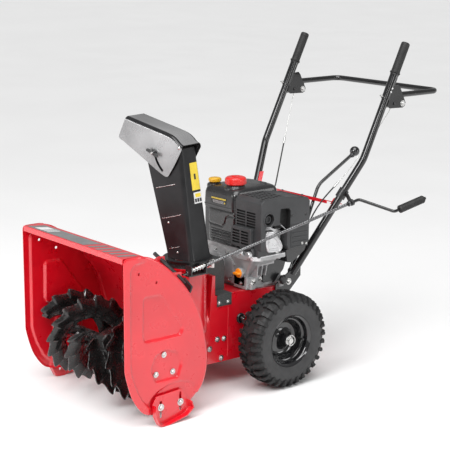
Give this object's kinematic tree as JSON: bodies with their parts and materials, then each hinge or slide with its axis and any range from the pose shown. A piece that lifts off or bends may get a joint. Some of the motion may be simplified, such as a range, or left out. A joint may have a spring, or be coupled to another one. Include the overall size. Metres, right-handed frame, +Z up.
{
  "type": "snow blower",
  "caption": "Walk-behind two-stage snow blower: red auger housing, turning chute with tilting deflector, engine, lugged wheels and splayed handles.",
  "frame": {"origin": "centre of the machine's bounding box, on the ground", "axes": "+Z up, -Y towards the auger's open front, +Y towards the operator, +X towards the operator's left"},
  "size_m": [0.7485, 1.4209, 1.144],
  "materials": {
    "red_paint": "gloss",
    "black_paint": "gloss",
    "black_plastic": "satin",
    "cast_aluminium": "cast",
    "zinc": "zinc plated",
    "black_rubber": "matte",
    "tyre_rubber": "matte",
    "red_plastic": "gloss",
    "yellow_plastic": "gloss",
    "orange_plastic": "gloss",
    "bare_steel": "turned",
    "white_plastic": "satin",
    "gloss_black_plastic": "gloss"
  },
  "bodies": {
    "chassis": {"auger_housing": "red_paint", "side_plate_left": "red_paint", "side_plate_right": "red_paint", "impeller_housing": "red_paint", "scraper_bar": "red_paint", "skid_shoe_left": "red_paint", "skid_shoe_right": "red_paint", "housing_bolts": "zinc", "auger_bearings": "cast_aluminium", "clean_out_tool": "black_plastic", "auger_gearbox": "cast_aluminium", "chute_clamps": "white_plastic", "worm_bracket": "black_paint", "crank_eye_bracket": "black_paint", "drive_frame": "red_paint", "belt_cover": "black_plastic", "axle_bushings": "bare_steel", "drive_belts": "black_rubber", "crankcase": "cast_aluminium", "rocker_cover": "cast_aluminium", "engine_hood": "black_plastic", "fuel_tank": "black_plastic", "fan_cover": "black_plastic", "handle_left": "black_paint", "handle_right": "black_paint", "hand_grips": "black_rubber", "handle_bolts": "zinc", "clutch_cables": "black_rubber", "shift_panel": "red_paint"},
    "auger": {"auger_shaft": "black_paint", "auger_flight_left": "black_paint", "auger_flight_right": "black_paint"},
    "impeller_rotor": {"impeller_shaft": "bare_steel", "impeller": "red_paint", "impeller_pulley": "bare_steel"},
    "chute_turret": {"chute_ring": "black_plastic", "chute": "black_paint"},
    "deflector": {"chute_deflector": "black_paint"},
    "wing_knob": {"deflector_wing_knob": "black_plastic"},
    "chute_crank": {"crank_rod": "black_paint", "chute_worm": "zinc"},
    "crank_handle": {"crank_grip": "black_plastic"},
    "wheel_set": {"drive_axle": "zinc", "rim_left": "black_paint", "rim_right": "black_paint", "tyre_left": "tyre_rubber", "tyre_right": "tyre_rubber", "wheel_pins": "zinc", "axle_gear": "bare_steel"},
    "hex_drive": {"hex_shaft": "bare_steel"},
    "friction_drive": {"friction_wheel": "cast_aluminium"},
    "drive_plate": {"drive_disc": "bare_steel"},
    "crankshaft": {"crank_pulleys": "bare_steel"},
    "bail_lever": {"bail": "black_paint"},
    "shifter": {"shift_lever": "black_paint", "shift_knob": "gloss_black_plastic"},
    "tank_cap": {"fuel_cap": "red_plastic"},
    "filler_cap": {"oil_cap": "yellow_plastic"},
    "oil_dipstick": {"dipstick": "orange_plastic"},
    "starter_handle": {"recoil_grip": "black_plastic"}
  },
  "joints": [
    {"name": "auger_spin", "type": "hinge", "parent": "chassis", "child": "auger", "pos_m": [-0.0608, -0.55715, 0.183], "axis": [1, 0, 0], "continuous": true},
    {"name": "impeller_spin", "type": "hinge", "parent": "chassis", "child": "impeller_rotor", "pos_m": [-0.0608, -0.31515, 0.2], "axis": [0, 1, 0], "continuous": true},
    {"name": "chute_turn", "type": "hinge", "parent": "chassis", "child": "chute_turret", "pos_m": [0.0312, -0.31415, 0.443], "axis": [0, 0, 1], "range_deg": [-8, 172]},
    {"name": "crank_turn", "type": "hinge", "parent": "chassis", "child": "chute_crank", "pos_m": [0.2392, 0.23585, 0.611], "axis": [0.2001, 0.9416, 0.2707], "range_deg": [-70, 1400]},
    {"name": "crank_grip_spin", "type": "hinge", "parent": "chute_crank", "child": "crank_handle", "pos_m": [0.3362, 0.34585, 0.581], "axis": [0.2001, 0.9416, 0.2707], "continuous": true},
    {"name": "deflector_tilt", "type": "hinge", "parent": "chute_turret", "child": "deflector", "pos_m": [0.0361, -0.31315, 0.835], "axis": [0.1994, -0.9799, 0], "range_deg": [-30, 4]},
    {"name": "wing_knob_turn", "type": "hinge", "parent": "chute_turret", "child": "wing_knob", "pos_m": [-0.0587, -0.38255, 0.80839], "axis": [0.1994, -0.9799, 0], "range_deg": [0, 180]},
    {"name": "wheels_spin", "type": "hinge", "parent": "chassis", "child": "wheel_set", "pos_m": [-0.0608, -0.02815, 0.165], "axis": [1, 0, 0], "continuous": true},
    {"name": "hex_shaft_spin", "type": "hinge", "parent": "chassis", "child": "hex_drive", "pos_m": [-0.0608, -0.08815, 0.232], "axis": [1, 0, 0], "continuous": true},
    {"name": "friction_wheel_slide", "type": "slide", "parent": "hex_drive", "child": "friction_drive", "axis": [1, 0, 0], "range_m": [-0.0707, 0.0106]},
    {"name": "drive_disc_spin", "type": "hinge", "parent": "chassis", "child": "drive_plate", "pos_m": [-0.0608, -0.15915, 0.232], "axis": [0, 1, 0], "continuous": true},
    {"name": "crankshaft_spin", "type": "hinge", "parent": "chassis", "child": "crankshaft", "pos_m": [-0.0608, -0.08815, 0.392], "axis": [0, 1, 0], "continuous": true},
    {"name": "bail_press", "type": "hinge", "parent": "chassis", "child": "bail_lever", "pos_m": [-0.0608, 0.50185, 0.928], "axis": [1, 0, 0], "range_deg": [-28, 0], "stiffness_Nm_per_rad": 9, "springref_deg": 34.38},
    {"name": "speed_lever", "type": "hinge", "parent": "chassis", "child": "shifter", "pos_m": [0.0572, 0.13185, 0.35], "axis": [0, 1, 0], "range_deg": [-20, 3]},
    {"name": "fuel_cap_turn", "type": "hinge", "parent": "chassis", "child": "tank_cap", "pos_m": [-0.0538, -0.03815, 0.666], "axis": [0, 0, 1], "range_deg": [0, 90]},
    {"name": "oil_cap_turn", "type": "hinge", "parent": "chassis", "child": "filler_cap", "pos_m": [-0.1528, -0.05015, 0.66], "axis": [0, 0, 1], "range_deg": [0, 180]},
    {"name": "dipstick_turn", "type": "hinge", "parent": "chassis", "child": "oil_dipstick", "pos_m": [0.0492, -0.10715, 0.378], "axis": [0, -1, 0], "range_deg": [0, 180]},
    {"name": "recoil_pull", "type": "slide", "parent": "chassis", "child": "starter_handle", "axis": [0, 1, 0], "range_m": [0, 0.4], "stiffness_N_per_m": 20, "springref_m": -0.4}
  ],
  "couplings": [
    {"joint": "impeller_spin", "follows": "auger_spin", "ratio": 10},
    {"joint": "crank_turn", "follows": "chute_turn", "ratio": 8},
    {"joint": "hex_shaft_spin", "follows": "wheels_spin", "ratio": -3.8889},
    {"joint": "friction_wheel_slide", "follows": "speed_lever", "m_per_rad": 0.2}
  ]
}
